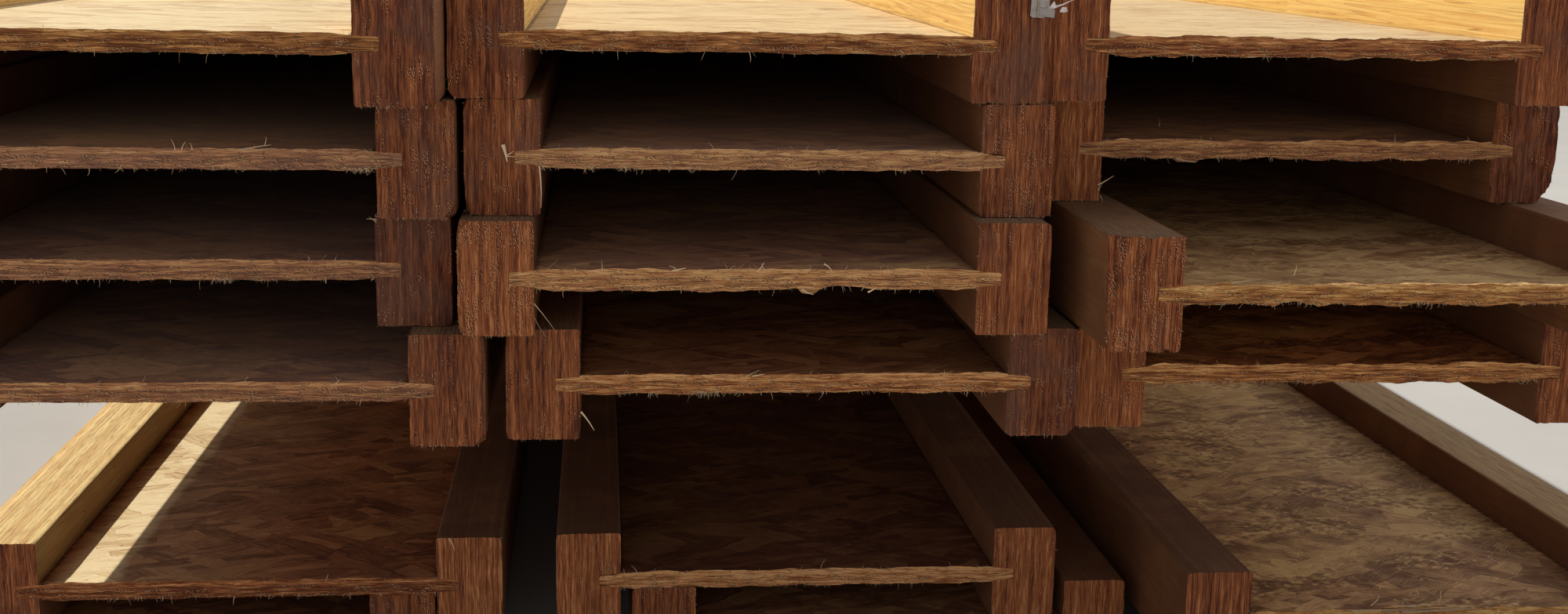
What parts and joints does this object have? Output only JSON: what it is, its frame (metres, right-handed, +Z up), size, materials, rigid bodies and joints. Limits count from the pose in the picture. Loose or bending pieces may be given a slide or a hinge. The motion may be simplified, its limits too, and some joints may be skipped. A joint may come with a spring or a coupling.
{
  "type": "stack of wood i-joists",
  "caption": "Wood I-joists with OSB webs and LVL flanges, lying on their sides in two bundles on timber spacers, as stored building stock.",
  "frame": {"origin": "middle of the stack's footprint, on the ground", "axes": "X across the stack, Y along the joists with the ends seen in the picture at low Y, Z up"},
  "size_m": [1.071, 3.825, 0.4183],
  "materials": {
    "flange_lvl": "rough sawn laminated veneer lumber, dry, reddish brown on the cut ends",
    "web_osb": "oriented strand board with a matt strand face and ragged cut ends",
    "spacer_timber": "sawn softwood, dry"
  },
  "bodies": {
    "root": {"joist_a_left_web": "web_osb", "joist_a_left_flange_left": "flange_lvl", "joist_a_left_flange_right": "flange_lvl", "joist_a_middle_web": "web_osb", "joist_a_middle_flange_left": "flange_lvl", "joist_a_middle_flange_right": "flange_lvl", "joist_a_right_web": "web_osb", "joist_a_right_flange_left": "flange_lvl", "joist_a_right_flange_right": "flange_lvl", "joist_b_left_web": "web_osb", "joist_b_left_flange_left": "flange_lvl", "joist_b_left_flange_right": "flange_lvl", "joist_b_middle_web": "web_osb", "joist_b_middle_flange_left": "flange_lvl", "joist_b_middle_flange_right": "flange_lvl", "joist_b_right_web": "web_osb", "joist_b_right_flange_left": "flange_lvl", "joist_b_right_flange_right": "flange_lvl", "joist_c_left_web": "web_osb", "joist_c_left_flange_left": "flange_lvl", "joist_c_left_flange_right": "flange_lvl", "joist_c_middle_web": "web_osb", "joist_c_middle_flange_left": "flange_lvl", "joist_c_middle_flange_right": "flange_lvl", "joist_c_right_web": "web_osb", "joist_c_right_flange_left": "flange_lvl", "joist_c_right_flange_right": "flange_lvl", "joist_d_left_web": "web_osb", "joist_d_left_flange_left": "flange_lvl", "joist_d_left_flange_right": "flange_lvl", "joist_d_middle_web": "web_osb", "joist_d_middle_flange_left": "flange_lvl", "joist_d_middle_flange_right": "flange_lvl", "joist_d_right_web": "web_osb", "joist_d_right_flange_left": "flange_lvl", "joist_d_right_flange_right": "flange_lvl", "joist_e_left_web": "web_osb", "joist_e_left_flange_left": "flange_lvl", "joist_e_left_flange_right": "flange_lvl", "joist_e_middle_web": "web_osb", "joist_e_middle_flange_left": "flange_lvl", "joist_e_middle_flange_right": "flange_lvl", "joist_e_right_web": "web_osb", "joist_e_right_flange_left": "flange_lvl", "joist_e_right_flange_right": "flange_lvl", "joist_f_left_web": "web_osb", "joist_f_left_flange_left": "flange_lvl", "joist_f_left_flange_right": "flange_lvl", "joist_f_middle_web": "web_osb", "joist_f_middle_flange_left": "flange_lvl", "joist_f_middle_flange_right": "flange_lvl", "joist_f_right_web": "web_osb", "joist_f_right_flange_left": "flange_lvl", "joist_f_right_flange_right": "flange_lvl", "spacer_front": "spacer_timber", "spacer_middle": "spacer_timber", "spacer_back": "spacer_timber"}
  },
  "joints": []
}
